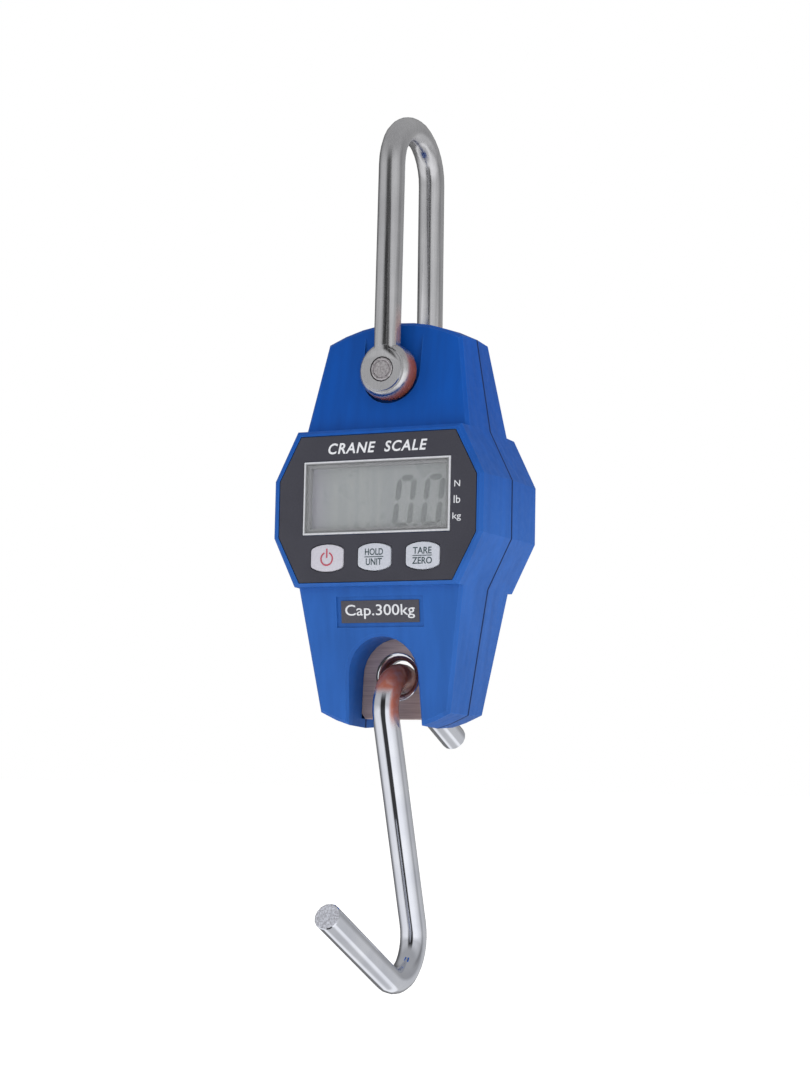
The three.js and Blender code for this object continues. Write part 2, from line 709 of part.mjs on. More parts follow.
// Assembly.
place("shackle", makeShackle(), steel);
place("load_pin", makeLoadPin(), steel);
place("pin_sleeve_front", makeSleeve(-1), zinc);
place("pin_sleeve_rear", makeSleeve(1), zinc);
place("front_shell", makeFrontShell(), blue);
place("rear_shell", makeRearShell(), blue);
place("load_cell", makeLoadCell(), cellMetal);
place("hook_eye", makeEyelet(), chrome);
place("s_hook", sweptBar(hookStations(), 16, 0.35), chrome);
place("front_panel", makePanel(), panelBlack);
place("window_frame", makeWindowFrame(), white);
place("display_window", makeWindow(), glass);
place("display_glass", makeGlassCell(), lcd);
place("display_backlight", makeBacklight(), white);
place("contact_strip_upper", makeZebra(-125.6), rubber);
place("contact_strip_lower", makeZebra(-153.4), rubber);
place("main_board", makeBoard(), greenBoard);
place("controller_chip", boxAt(-6, 6, -14.75, -13.2, -151, -139), blackPlastic);
place("amplifier_chip", boxAt(12, 17, -14.75, -13.4, -137, -131), blackPlastic);
place("buzzer", rodAlongY(5.5, -14.75, -9.5, -20, -158, 14), blackPlastic);
["power_button", "hold_button", "tare_button"].forEach((name, i) => {
  place(name, makeButton(buttonCentres()[i]), keyGrey);
});
["power_switch", "hold_switch", "tare_switch"].forEach((name, i) => {
  place(name, makeSwitch(buttonCentres()[i]), blackPlastic);
});
place("capacity_label", labelPlate(16.15, 4.15, -0.25, 0.45), panelBlack);
place("strain_gauge_left", makeGauge(-1), copper);
place("strain_gauge_right", makeGauge(1), copper);
place("gauge_cable", makeWire([[13.9, 0, -138], [17, -2, -134], [19, -8, -129], [19, -13.9, -126]], 0.8),
  rubber);
place("battery_leads", makeWire([[-28.3, 12, -132], [-30.6, 6, -130], [-30.6, -6, -129],
  [-28, -13.8, -128]], 0.9), wireRed);
place("battery_tray", makeTray(), blackPlastic);
place("battery_door", makeDoor(), blue);
cellHeights().forEach((z, i) => {
  const way = i % 2 === 0 ? 1 : -1;
  place(`battery_${i + 1}`, makeBattery(z, way), wrapper);
  place(`battery_spring_${i + 1}`, makeSpring(z, way), zinc);
  place(`battery_contact_${i + 1}`, makeContact(z, way), zinc);
});
caseScrews.forEach(([x, z], i) => {
  place(`case_screw_${i + 1}`, makeScrew(x, z, 10.4, 2.1, 2.7, 1.4, 19), zinc);
});
boardScrews.forEach(([x, z], i) => {
  place(`board_screw_${i + 1}`, makeScrew(x, z, -13.1, 1.6, 2.1, 0.95, 8), zinc);
});
cellScrews.forEach(([x, z], i) => {
  place(`cell_screw_${i + 1}`, makeScrew(x, z, 5.9, 2.1, 2.8, 1.2, 14), zinc);
});

export default group;
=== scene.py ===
import math
import bmesh
import bpy
from mathutils import Matrix, Vector


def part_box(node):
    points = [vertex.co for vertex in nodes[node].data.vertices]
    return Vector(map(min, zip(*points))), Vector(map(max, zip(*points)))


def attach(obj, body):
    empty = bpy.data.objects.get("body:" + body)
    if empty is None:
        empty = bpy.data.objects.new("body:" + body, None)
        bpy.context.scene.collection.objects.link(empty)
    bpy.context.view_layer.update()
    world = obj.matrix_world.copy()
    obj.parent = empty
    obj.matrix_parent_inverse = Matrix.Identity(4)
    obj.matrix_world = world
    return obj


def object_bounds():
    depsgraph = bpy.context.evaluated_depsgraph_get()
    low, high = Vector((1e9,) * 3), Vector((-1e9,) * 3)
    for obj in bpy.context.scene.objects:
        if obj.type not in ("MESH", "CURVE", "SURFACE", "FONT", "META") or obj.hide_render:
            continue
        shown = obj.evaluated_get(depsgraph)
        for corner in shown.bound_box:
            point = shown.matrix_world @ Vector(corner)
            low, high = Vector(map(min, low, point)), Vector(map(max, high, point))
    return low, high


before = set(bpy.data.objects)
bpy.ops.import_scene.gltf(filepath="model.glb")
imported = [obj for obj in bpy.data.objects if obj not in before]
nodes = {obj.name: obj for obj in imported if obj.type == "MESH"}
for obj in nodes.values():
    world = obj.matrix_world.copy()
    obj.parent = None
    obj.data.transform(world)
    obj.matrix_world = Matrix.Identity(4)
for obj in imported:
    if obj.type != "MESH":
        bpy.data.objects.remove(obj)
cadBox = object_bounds()
mm = 0.001
print("frame loaded,", len(nodes), "nodes")



def addObject(name, data):
    made = bpy.data.objects.new(name, data)
    bpy.context.scene.collection.objects.link(made)
    return made


# camera: aimed at the foot of the display window, standing a little lower than the scale
cameraLook = {"azimuth": 26.34, "elevation": -6.03, "roll": 1.13, "distance": 0.851, "lens": 75.0,
              "sensor": 36}


def makeCamera(look):
    azimuth, elevation, roll = (math.radians(look[k]) for k in ("azimuth", "elevation", "roll"))
    back = Vector((math.sin(azimuth) * math.cos(elevation),
                   -math.cos(azimuth) * math.cos(elevation), math.sin(elevation)))
    right = Vector((math.cos(azimuth), math.sin(azimuth), 0))
    up = back.cross(right)
    across = right * math.cos(roll) + up * math.sin(roll)
    upward = up * math.cos(roll) - right * math.sin(roll)
    aim = Vector((0, 0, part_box("window_frame")[0].z))
    data = bpy.data.cameras.new("studioCamera")
    data.sensor_width = look["sensor"]
    data.lens = look["lens"]
    camera = addObject("studioCamera", data)
    turn = Matrix((across, upward, back)).transposed().to_4x4()
    camera.matrix_world = Matrix.Translation(aim + back * look["distance"]) @ turn
    bpy.context.scene.camera = camera


makeCamera(cameraLook)
print("camera placed")


# small helpers for node trees
class NodeKit:
    def __init__(self, tree, space):
        self.tree = tree
        self.coords = tree.nodes.new("ShaderNodeTexCoord").outputs[space]

    def link(self, output, target):
        self.tree.links.new(output, target)
        return output

    def math(self, operation, first, second=None, third=None):
        node = self.tree.nodes.new("ShaderNodeMath")
        node.operation = operation
        for socket, value in zip(node.inputs, (first, second, third)):
            if isinstance(value, (int, float)):
                socket.default_value = value
            elif value is not None:
                self.link(value, socket)
        return node.outputs[0]

    def stretched(self, scale):
        node = self.tree.nodes.new("ShaderNodeMapping")
        node.inputs["Scale"].default_value = scale
        self.link(self.coords, node.inputs["Vector"])
        return node.outputs[0]

    def noise(self, scale, detail=3.0, vector=None):
        node = self.tree.nodes.new("ShaderNodeTexNoise")
        node.inputs["Scale"].default_value = scale
        node.inputs["Detail"].default_value = detail
        self.link(vector or self.coords, node.inputs["Vector"])
        return node.outputs["Fac"]

    def axis(self, letter):
        node = self.tree.nodes.new("ShaderNodeSeparateXYZ")
        self.link(self.coords, node.inputs[0])
        return node.outputs[letter]

    def ranged(self, value, low, high, toLow=0.0, toHigh=1.0, smooth=False):
        node = self.tree.nodes.new("ShaderNodeMapRange")
        node.interpolation_type = "SMOOTHSTEP" if smooth else "LINEAR"
        for key, number in (("From Min", low), ("From Max", high), ("To Min", toLow), ("To Max", toHigh)):
            node.inputs[key].default_value = number
        self.link(value, node.inputs["Value"])
        return node.outputs[0]

    def mixed(self, amount, first, second):
        node = self.tree.nodes.new("ShaderNodeMix")
        node.data_type = "RGBA"
        self.link(amount, node.inputs[0])
        for socket, value in ((node.inputs[6], first), (node.inputs[7], second)):
            if isinstance(value, tuple):
                socket.default_value = (*value, 1)
            else:
                self.link(value, socket)
        return node.outputs[2]

    def blended(self, amount, first, level):
        # moves a single number toward a fixed level
        node = self.tree.nodes.new("ShaderNodeMix")
        self.link(amount, node.inputs[0])
        self.link(first, node.inputs[2])
        node.inputs[3].default_value = level
        return node.outputs[0]


class Finish(NodeKit):
    def __init__(self, name, colour, roughness, metallic=0.0, **sockets):
        self.material = bpy.data.materials.new(name)
        self.material.use_nodes = True
        super().__init__(self.material.node_tree, "Object")
        self.shader = self.tree.nodes["Principled BSDF"]
        self.shader.inputs["Base Color"].default_value = (*colour, 1)
        self.shader.inputs["Roughness"].default_value = roughness
        self.shader.inputs["Metallic"].default_value = metallic
        for key, value in sockets.items():
            self.shader.inputs[key.replace("_", " ")].default_value = value

    def scratches(self, scale, amount):
        # thin lines where a stretched noise crosses its middle value
        crossing = self.math("SUBTRACT", self.noise(1.0, 1.0, self.stretched(scale)), 0.5)
        return self.ranged(self.math("ABSOLUTE", crossing), 0.0, amount, 1.0, 0.0)

    def wornEdge(self, radius):
        bevel = self.tree.nodes.new("ShaderNodeBevel")
        bevel.samples = 4
        bevel.inputs["Radius"].default_value = radius
        geometry = self.tree.nodes.new("ShaderNodeNewGeometry")
        dot = self.tree.nodes.new("ShaderNodeVectorMath")
        dot.operation = "DOT_PRODUCT"
        self.link(bevel.outputs[0], dot.inputs[0])
        self.link(geometry.outputs["Normal"], dot.inputs[1])
        return self.ranged(dot.outputs["Value"], 0.985, 0.8)

    def colour(self, output):
        self.link(output, self.shader.inputs["Base Color"])

    def roughness(self, output):
        self.link(output, self.shader.inputs["Roughness"])

    def bump(self, height, strength, distance):
        node = self.tree.nodes.new("ShaderNodeBump")
        node.inputs["Strength"].default_value = strength
        node.inputs["Distance"].default_value = distance
        self.link(height, node.inputs["Height"])
        self.link(node.outputs[0], self.shader.inputs["Normal"])


def scaled(pair, start=0.0):
    # a pair of lengths in mm, measured from a starting place
    return [start + length * mm for length in pair]


def give(material, *names):
    for name in names:
        mesh = nodes[name].data
        mesh.materials.clear()
        mesh.materials.append(material)


# moulded housing; lengths in mm. Its blue holds painted light: paler toward the bottom as a painted
# reflection of the table, and darker along the parting seam as painted shade
shellLook = {"upper": (0.0015, 0.068, 0.345), "lower": (0.02, 0.106, 0.395), "edge": (0.03, 0.14, 0.46),
             "seam": (0.002, 0.012, 0.06), "paintedSheenDrop": (25, 95), "seamHalf": (0.8, 0.4),
             "seamShadeStrength": 0.85, "wear": 0.7, "roughness": 0.46, "shine": 0.15, "grain": 2600}


def mouldedBlue(look):
    f = Finish("mouldedBlue", look["upper"], look["roughness"], Specular_IOR_Level=look["shine"])
    # painted reflection: the upper colour turns to the paler lower colour toward the bottom, standing in for
    # the table's sheen
    upperZ, lowerZ = (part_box("front_shell")[1].z - drop * mm for drop in look["paintedSheenDrop"])
    paintedSheen = f.ranged(f.axis("Z"), upperZ, lowerZ, smooth=True)
    body = f.mixed(paintedSheen, look["upper"], look["lower"])
    patches = f.ranged(f.noise(22, 3), 0.35, 0.65, 0, 0.12)
    drawn = f.ranged(f.noise(1.0, 4, f.stretched((260, 260, 9))), 0.35, 0.7, 0, 0.16)
    body = f.mixed(f.math("ADD", patches, drawn), body, look["seam"])
    # painted shade: a dark line along the parting seam, standing in for the shadow in its groove
    outside, inside = look["seamHalf"]
    seam = f.ranged(f.math("ABSOLUTE", f.axis("Y")), outside * mm, inside * mm)
    body = f.mixed(f.math("MULTIPLY", seam, look["seamShadeStrength"]), body, look["seam"])
    broken = f.ranged(f.noise(180, 4), 0.35, 0.7, 0.2, 0.8)
    wear = f.math("MULTIPLY", f.wornEdge(look["wear"] * mm), broken)
    wear = f.math("MULTIPLY", wear, f.math("SUBTRACT", 1.0, seam))
    f.colour(f.mixed(wear, body, look["edge"]))
    scuffs = f.scratches((60, 60, 900), 0.004)
    rough = f.ranged(f.noise(320, 4), 0.3, 0.7, look["roughness"] - 0.06, look["roughness"] + 0.07)
    f.roughness(f.math("MULTIPLY_ADD", scuffs, 0.08, rough))
    f.bump(f.noise(look["grain"], 2), 0.12, 0.08 * mm)
    return f.material


# bright metal; lengths in mm, heights of the shackle's painted warm reflection from the pin's middle
barLook = {"colour": (0.58, 0.58, 0.60), "light": (0.74, 0.74, 0.76), "tint": (0.42, 0.07, 0.018),
           "rim": (9.8, 10.7), "lean": (-2.5, 5), "faceOut": (12.4, 12.9), "rimTop": (11, 8),
           "legFoot": (9.5, 11), "legTop": (26, 15), "legEdge": (4.1, 4.9), "legStrength": 0.7,
           "warmReflectionStrength": 0.9}


def eyeTint(f, centreZ, look):
    # painted warm orange-brown reflection round the lower right of each eye's rim, and up the right edge of
    # each leg
    down = f.math("SUBTRACT", f.axis("Z"), centreZ)
    out = f.math("SQRT", f.math("ADD", f.math("MULTIPLY", f.axis("X"), f.axis("X")),
                                f.math("MULTIPLY", down, down)))
    ring = f.ranged(out, *scaled(look["rim"]), smooth=True)
    lean = f.math("SUBTRACT", f.math("MULTIPLY", f.axis("X"), 0.8), down)
    low = f.ranged(lean, *scaled(look["lean"]), smooth=True)
    near = f.ranged(f.math("ABSOLUTE", f.axis("Y")), *scaled(look["faceOut"]))
    beside = f.ranged(f.axis("Z"), *scaled(look["rimTop"], centreZ))
    above = f.ranged(f.axis("Z"), *scaled(look["legFoot"], centreZ))
    fading = f.ranged(f.axis("Z"), *scaled(look["legTop"], centreZ))
    edge = f.ranged(f.axis("X"), *scaled(look["legEdge"]), 0, look["legStrength"])
    leg = f.math("MULTIPLY", edge, f.math("MULTIPLY", above, fading))
    warmReflection = f.math("MULTIPLY", f.math("MULTIPLY", ring, low), f.math("MULTIPLY", near, beside))
    return f.math("MAXIMUM", warmReflection, leg)


def satinBar(look):
    f = Finish("satinBar", look["colour"], 0.25, 1.0)
    drawn = f.noise(1.0, 5, f.stretched((1500, 1500, 45)))
    cloudy = f.noise(70, 3)
    body = f.mixed(f.ranged(f.math("MULTIPLY_ADD", drawn, 0.5, f.math("MULTIPLY", cloudy, 0.5)), 0.35, 0.65),
                   look["colour"], look["light"])
    centreZ = (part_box("load_pin")[0].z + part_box("load_pin")[1].z) / 2
    warmReflection = eyeTint(f, centreZ, look)
    # painted warm reflection mixed into the bar's colour, with less metal where it lies
    f.colour(f.mixed(f.math("MULTIPLY", warmReflection, look["warmReflectionStrength"]), body, look["tint"]))
    f.link(f.math("MULTIPLY_ADD", warmReflection, -0.55, 1.0), f.shader.inputs["Metallic"])
    marks = f.scratches((900, 900, 70), 0.006)
    f.roughness(f.math("MULTIPLY_ADD", marks, 0.12, f.ranged(drawn, 0.3, 0.7, 0.17, 0.3)))
    f.bump(drawn, 0.1, 0.05 * mm)
    return f.material


def peenedPin():
    f = Finish("peenedPin", (0.6, 0.57, 0.59), 0.42, 1.0)
    pits = f.noise(1400, 5)
    f.colour(f.mixed(f.ranged(pits, 0.35, 0.65), (0.5, 0.47, 0.49), (0.86, 0.83, 0.85)))
    f.roughness(f.ranged(pits, 0.3, 0.7, 0.34, 0.52))
    f.bump(pits, 0.4, 0.15 * mm)
    return f.material


# lengths in mm: heights of the hook's painted warm reflection from the eyelet's middle, the tip from its
# front end
hookLook = {"colour": (0.77, 0.79, 0.85), "cloud": (0.69, 0.71, 0.78), "tint": (0.36, 0.07, 0.02),
            "sawn": (0.34, 0.34, 0.38), "bend": (-7.5, -4), "rightFoot": (-21, -13),
            "rightEdge": (2.9, 4.0), "leftFoot": (-16, -9), "leftEdge": (-4.0, -4.7), "rear": (12, 6),
            "warmReflectionStrength": 0.92, "tip": (4.9, 4.7), "tipFacing": (0, -0.889, 0.457),
            "tipSpread": (0.93, 0.97)}


def hookWarmReflection(f, look):
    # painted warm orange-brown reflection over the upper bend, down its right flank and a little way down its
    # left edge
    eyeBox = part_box("hook_eye")
    eyeZ = (eyeBox[0].z + eyeBox[1].z) / 2
    warmReflection = f.ranged(f.axis("Z"), *scaled(look["bend"], eyeZ), smooth=True)
    for side in ("right", "left"):
        low = f.ranged(f.axis("Z"), *scaled(look[side + "Foot"], eyeZ), smooth=True)
        edge = f.ranged(f.axis("X"), *scaled(look[side + "Edge"]), smooth=True)
        warmReflection = f.math("MAXIMUM", warmReflection, f.math("MULTIPLY", edge, low))
    warmReflection = f.math("MULTIPLY", warmReflection, f.ranged(f.axis("Y"), *scaled(look["rear"])))
    return f.math("MULTIPLY", warmReflection, f.ranged(f.noise(420, 4), 0.3, 0.6, 0.86, 1.0))


def brightChrome(name, look, hookPiece):
    f = Finish(name, look["colour"], 0.1, 1.0)
    cloudy = f.ranged(f.noise(90, 4), 0.35, 0.65)
    body = f.mixed(cloudy, look["cloud"], look["colour"])
    hair = f.scratches((250, 250, 1300), 0.004)
    rough = f.math("MULTIPLY_ADD", hair, 0.1, f.ranged(cloudy, 0, 1, 0.04, 0.09))
    if hookPiece:
        # painted warm reflection over the hook's upper bend and flanks, with less metal there
        warmReflection = hookWarmReflection(f, look)
        body = f.mixed(f.math("MULTIPLY", warmReflection, look["warmReflectionStrength"]), body, look["tint"])
        tip = f.ranged(f.axis("Y"), *scaled(look["tip"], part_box("s_hook")[0].y))
        facing = f.tree.nodes.new("ShaderNodeVectorMath")
        facing.operation = "DOT_PRODUCT"
        normal = f.tree.nodes.new("ShaderNodeTexCoord").outputs["Normal"]
        f.link(normal, facing.inputs[0])
        facing.inputs[1].default_value = look["tipFacing"]
        cut = f.math("MULTIPLY", tip, f.ranged(facing.outputs["Value"], *look["tipSpread"]))
        saw = f.mixed(f.ranged(f.noise(1600, 4), 0.35, 0.65), look["sawn"], look["cloud"])
        body = f.mixed(cut, body, saw)
        rough = f.math("MULTIPLY_ADD", cut, 0.3, f.math("MULTIPLY_ADD", warmReflection, 0.12, rough))
        bright = f.math("MULTIPLY_ADD", warmReflection, -0.7, 1.0)
        f.link(f.math("SUBTRACT", bright, f.math("MULTIPLY", cut, 0.6)), f.shader.inputs["Metallic"])
    f.colour(body)
    f.roughness(rough)
    f.bump(f.noise(500, 3), 0.03, 0.05 * mm)
    return f.material


def machinedPlate():
    f = Finish("machinedPlate", (0.36, 0.28, 0.27), 0.42, 0.35)
    lines = f.noise(1.0, 4, f.stretched((90, 90, 2600)))
    f.colour(f.mixed(f.ranged(lines, 0.3, 0.7), (0.37, 0.28, 0.27), (0.54, 0.42, 0.41)))
    f.roughness(f.ranged(f.noise(260, 4), 0.3, 0.7, 0.34, 0.52))
    f.bump(lines, 0.1, 0.04 * mm)
    return f.material


def platedZinc():
    f = Finish("platedZinc", (0.6, 0.61, 0.64), 0.3, 1.0)
    frost = f.noise(700, 5)
    f.colour(f.mixed(f.ranged(frost, 0.3, 0.7), (0.48, 0.5, 0.53), (0.7, 0.71, 0.73)))
    f.roughness(f.ranged(frost, 0.3, 0.7, 0.22, 0.42))
    f.bump(frost, 0.12, 0.05 * mm)
    return f.material


# printed, clear and inner finishes
def speckled(name, dark, light, roughness, scale, depth=0.1, metallic=0.0):
    f = Finish(name, light, roughness, metallic)
    grain = f.noise(scale, 4)
    broad = f.noise(scale / 40, 2)
    blend = f.math("MULTIPLY_ADD", grain, 0.6, f.math("MULTIPLY", broad, 0.4))
    f.colour(f.mixed(f.ranged(blend, 0.35, 0.65), dark, light))
    f.roughness(f.ranged(broad, 0.3, 0.7, roughness - 0.05, roughness + 0.06))
    f.bump(grain, depth, 0.05 * mm)
    return f.material


def clearPane():
    f = Finish("clearPane", (0.75, 0.78, 0.79), 0.06, 0.0, Alpha=0.08)
    smears = f.noise(1.0, 3, f.stretched((60, 60, 20)))
    f.colour(f.mixed(f.ranged(smears, 0.3, 0.7), (0.68, 0.7, 0.74), (0.8, 0.82, 0.82)))
    f.roughness(f.ranged(smears, 0.3, 0.7, 0.04, 0.11))
    return f.material


displayLook = {"tintEdge": (-18, -29), "tintStrength": 0.7}  # the tint's place across the glass, in mm
lineLook = {"pale": (0.6, 0.68), "inner": (0.2, 0.205, 0.21)}  # how far in the pale line ends, in mm; inner is the grey of the painted shade inside the line


def displayGrey(look):
    f = Finish("displayGrey", (0.24, 0.26, 0.26), 0.3)
    columns = f.noise(1.0, 2, f.stretched((420, 420, 12)))
    body = f.mixed(f.ranged(columns, 0.3, 0.7), (0.20, 0.215, 0.22), (0.24, 0.255, 0.255))
    lilac = f.ranged(f.axis("X"), *scaled(look["tintEdge"]), 0, look["tintStrength"], smooth=True)
    f.colour(f.mixed(lilac, body, (0.215, 0.205, 0.26)))
    f.roughness(f.ranged(f.noise(150, 3), 0.3, 0.7, 0.24, 0.36))
    return f.material


def frameLine(look):
    # a thin pale line round the outer edge, with grey inside it as painted shade
    f = Finish("frameLine", (0.5, 0.51, 0.54), 0.4)
    low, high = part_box("window_frame")
    across = f.math("SUBTRACT", high.x, f.math("ABSOLUTE", f.axis("X")))
    rise = f.math("ABSOLUTE", f.math("SUBTRACT", f.axis("Z"), (low.z + high.z) / 2))
    inset = f.math("MINIMUM", across, f.math("SUBTRACT", (high.z - low.z) / 2, rise))
    pale = f.mixed(f.ranged(f.noise(1500, 3), 0.35, 0.65), (0.46, 0.47, 0.5), (0.56, 0.57, 0.6))
    f.colour(f.mixed(f.ranged(inset, *scaled(look["pale"])), pale, look["inner"]))
    f.roughness(f.ranged(f.noise(300, 3), 0.3, 0.7, 0.36, 0.5))
    return f.material


def circuitBoard():
    f = Finish("circuitBoard", (0.02, 0.16, 0.06), 0.35)
    cells = f.tree.nodes.new("ShaderNodeTexVoronoi")
    cells.distance = "CHEBYCHEV"
    cells.inputs["Scale"].default_value = 320
    f.link(f.coords, cells.inputs["Vector"])
    tracks = f.ranged(cells.outputs["Distance"], 0.42, 0.5)
    f.colour(f.mixed(tracks, (0.015, 0.13, 0.05), (0.04, 0.26, 0.1)))
    f.roughness(f.ranged(f.noise(200, 3), 0.3, 0.7, 0.28, 0.45))
    f.bump(tracks, 0.2, 0.04 * mm)
    return f.material


def gaugeFoil():
    f = Finish("gaugeFoil", (0.5, 0.3, 0.12), 0.4, 0.5)
    wave = f.tree.nodes.new("ShaderNodeTexWave")
    wave.bands_direction = "Z"
    wave.inputs["Scale"].default_value = 260
    f.link(f.coords, wave.inputs["Vector"])
    f.colour(f.mixed(wave.outputs["Fac"], (0.38, 0.2, 0.07), (0.62, 0.4, 0.18)))
    f.roughness(f.ranged(f.noise(500, 3), 0.3, 0.7, 0.3, 0.5))
    return f.material


blue = mouldedBlue(shellLook)
zinc = platedZinc()
panelInk = speckled("panelOverlay", (0.028, 0.028, 0.040), (0.040, 0.040, 0.055), 0.36, 2200)
labelInk = speckled("labelStrip", (0.045, 0.045, 0.06), (0.065, 0.062, 0.08), 0.45, 1800)
printWhite = speckled("printWhite", (0.56, 0.57, 0.6), (0.72, 0.73, 0.76), 0.45, 1500)
printDark = speckled("printDark", (0.025, 0.05, 0.06), (0.05, 0.08, 0.09), 0.5, 1500)
printRed = speckled("printRed", (0.36, 0.05, 0.08), (0.48, 0.08, 0.12), 0.5, 1500)
keyLilac = speckled("keyLilac", (0.42, 0.44, 0.50), (0.50, 0.52, 0.57), 0.4, 1600)
keyPink = speckled("keyPink", (0.43, 0.42, 0.48), (0.51, 0.50, 0.55), 0.4, 1600)
segmentInk = speckled("segmentInk", (0.095, 0.105, 0.11), (0.12, 0.13, 0.135), 0.4, 900)
ghostInk = speckled("ghostInk", (0.175, 0.185, 0.19), (0.2, 0.21, 0.215), 0.4, 900)
blackMoulding = speckled("blackMoulding", (0.012, 0.012, 0.014), (0.024, 0.024, 0.028), 0.5, 1800)
softBlack = speckled("softBlack", (0.02, 0.02, 0.022), (0.04, 0.04, 0.044), 0.75, 1200, 0.2)
lightGuide = speckled("lightGuide", (0.72, 0.74, 0.75), (0.84, 0.85, 0.86), 0.4, 900)
cellWrap = speckled("cellWrap", (0.02, 0.045, 0.07), (0.045, 0.075, 0.11), 0.3, 700)
# grey of the window's lining, painted shade inside the display opening
liningShadeGrey = speckled("liningShadeGrey", (0.15, 0.152, 0.158), (0.19, 0.192, 0.198), 0.5, 1500)
leadRed = speckled("leadRed", (0.3, 0.02, 0.015), (0.42, 0.035, 0.025), 0.5, 1200)

give(blue, "front_shell", "rear_shell", "battery_door")
give(satinBar(barLook), "shackle")
give(peenedPin(), "load_pin")
give(brightChrome("hookChrome", hookLook, True), "s_hook")
give(brightChrome("eyeletChrome", hookLook, False), "hook_eye")
give(machinedPlate(), "load_cell")
give(panelInk, "front_panel")
give(labelInk, "capacity_label")
give(frameLine(lineLook), "window_frame")
give(clearPane(), "display_window")
give(displayGrey(displayLook), "display_glass")
give(lightGuide, "display_backlight")
give(circuitBoard(), "main_board")
give(gaugeFoil(), "strain_gauge_left", "strain_gauge_right")
give(keyPink, "power_button")
give(keyLilac, "hold_button", "tare_button")
give(leadRed, "battery_leads")
give(softBlack, "gauge_cable", "contact_strip_upper", "contact_strip_lower")
give(blackMoulding, "controller_chip", "amplifier_chip", "buzzer", "battery_tray",
     "power_switch", "hold_switch", "tare_switch")
give(cellWrap, "battery_1", "battery_2", "battery_3")
fixingWords = ("screw", "sleeve", "battery_spring", "battery_contact")
fixings = [n for n in nodes if any(word in n for word in fixingWords)]
give(zinc, *fixings)
print("finishes made:", len(bpy.data.materials))

# rounded edges on the CAD pieces: (edge radius in mm, smallest sharp angle in degrees)
edgeSoftness = {"front_shell": (0.45, 18), "rear_shell": (0.45, 18), "battery_door": (0.3, 30),
                "shackle": (0.4, 38), "load_pin": (0.12, 38), "load_cell": (0.35, 30),
                "front_panel": (0.12, 30), "capacity_label": (0.08, 30), "window_frame": (0.15, 30),
                "battery_tray": (0.25, 30), "main_board": (0.1, 30)}
otherEdges = (0, 38)


def soften(name, radius, angle):
    piece = nodes[name]
    mesh = piece.data
    if "custom_normal" in mesh.attributes:
        mesh.attributes.remove(mesh.attributes["custom_normal"])
    mesh.polygons.foreach_set("use_smooth", [True] * len(mesh.polygons))
    weld = piece.modifiers.new("joined", "WELD")
    weld.merge_threshold = 0.002 * mm
    if radius:
        flat = piece.modifiers.new("flats", "DECIMATE")
        flat.decimate_type = "DISSOLVE"
        flat.angle_limit = math.radians(0.4)
        rounding = piece.modifiers.new("edges", "BEVEL")
        rounding.width = radius * mm
        rounding.segments = 3
        rounding.limit_method = "ANGLE"
        rounding.angle_limit = math.radians(angle)
        rounding.use_clamp_overlap = True
        rounding.harden_normals = True
    else:
        split = piece.modifiers.new("creases", "EDGE_SPLIT")
        split.split_angle = math.radians(angle)


for name in nodes:
    soften(name, *edgeSoftness.get(name, otherEdges))
print("edges softened")


# printed marks, drawn in the XZ plane and facing the front
inkDepth = 0.03 * mm


def finishMark(piece, material, body):
    piece.data.materials.clear()
    piece.data.materials.append(material)
    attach(piece, body)


def inkShapes(name, outlines, centre, material, body):
    mesh = bpy.data.meshes.new(name)
    bm = bmesh.new()
    for outline in outlines:
        face = bm.faces.new([bm.verts.new((x * mm, 0, z * mm)) for x, z in outline])
        made = bmesh.ops.extrude_face_region(bm, geom=[face])["geom"]
        bmesh.ops.translate(bm, verts=[v for v in made if isinstance(v, bmesh.types.BMVert)],
                            vec=(0, -inkDepth, 0))
    bmesh.ops.recalc_face_normals(bm, faces=bm.faces)
    bm.to_mesh(mesh)
    bm.free()
    piece = addObject(name, mesh)
    piece.matrix_world = Matrix.Translation(centre)
    finishMark(piece, material, body)


def stroke(points, width):
    # quads along a line of points, so every stroke has an even width
    quads = []
    for (ax, az), (bx, bz) in zip(points, points[1:]):
        length = math.hypot(bx - ax, bz - az)
        nx, nz = -(bz - az) / length * width / 2, (bx - ax) / length * width / 2
        quads.append([(ax + nx, az + nz), (bx + nx, bz + nz), (bx - nx, bz - nz), (ax - nx, az - nz)])
    return quads


def inkText(name, words, width, height, centre, material, body, shear=0.0, bold=0.0, tilt=0.0,
            spacing=1.0):
    font = bpy.data.curves.new(name, "FONT")
    font.body = words
    font.align_x, font.align_y = "CENTER", "CENTER"
    font.shear = shear
    font.offset = bold
    font.extrude = 0.01
    font.space_character = spacing
    font.resolution_u = 4
    draft = addObject(name + "Draft", font)
    mesh = bpy.data.meshes.new_from_object(draft.evaluated_get(bpy.context.evaluated_depsgraph_get()))
    bpy.data.objects.remove(draft)
    low = Vector([min(v.co[i] for v in mesh.vertices) for i in range(3)])
    high = Vector([max(v.co[i] for v in mesh.vertices) for i in range(3)])
    size = high - low
    mesh.transform(Matrix.Translation(-(low + high) / 2))
    mesh.transform(Matrix.Diagonal((width * mm / size.x, height * mm / size.y, inkDepth / size.z, 1)))
    mesh.transform(Matrix.Rotation(math.pi / 2, 4, "X"))
    piece = addObject(name, mesh)
    piece.matrix_world = Matrix.Translation(centre) @ Matrix.Rotation(tilt, 4, "X")
    finishMark(piece, material, body)


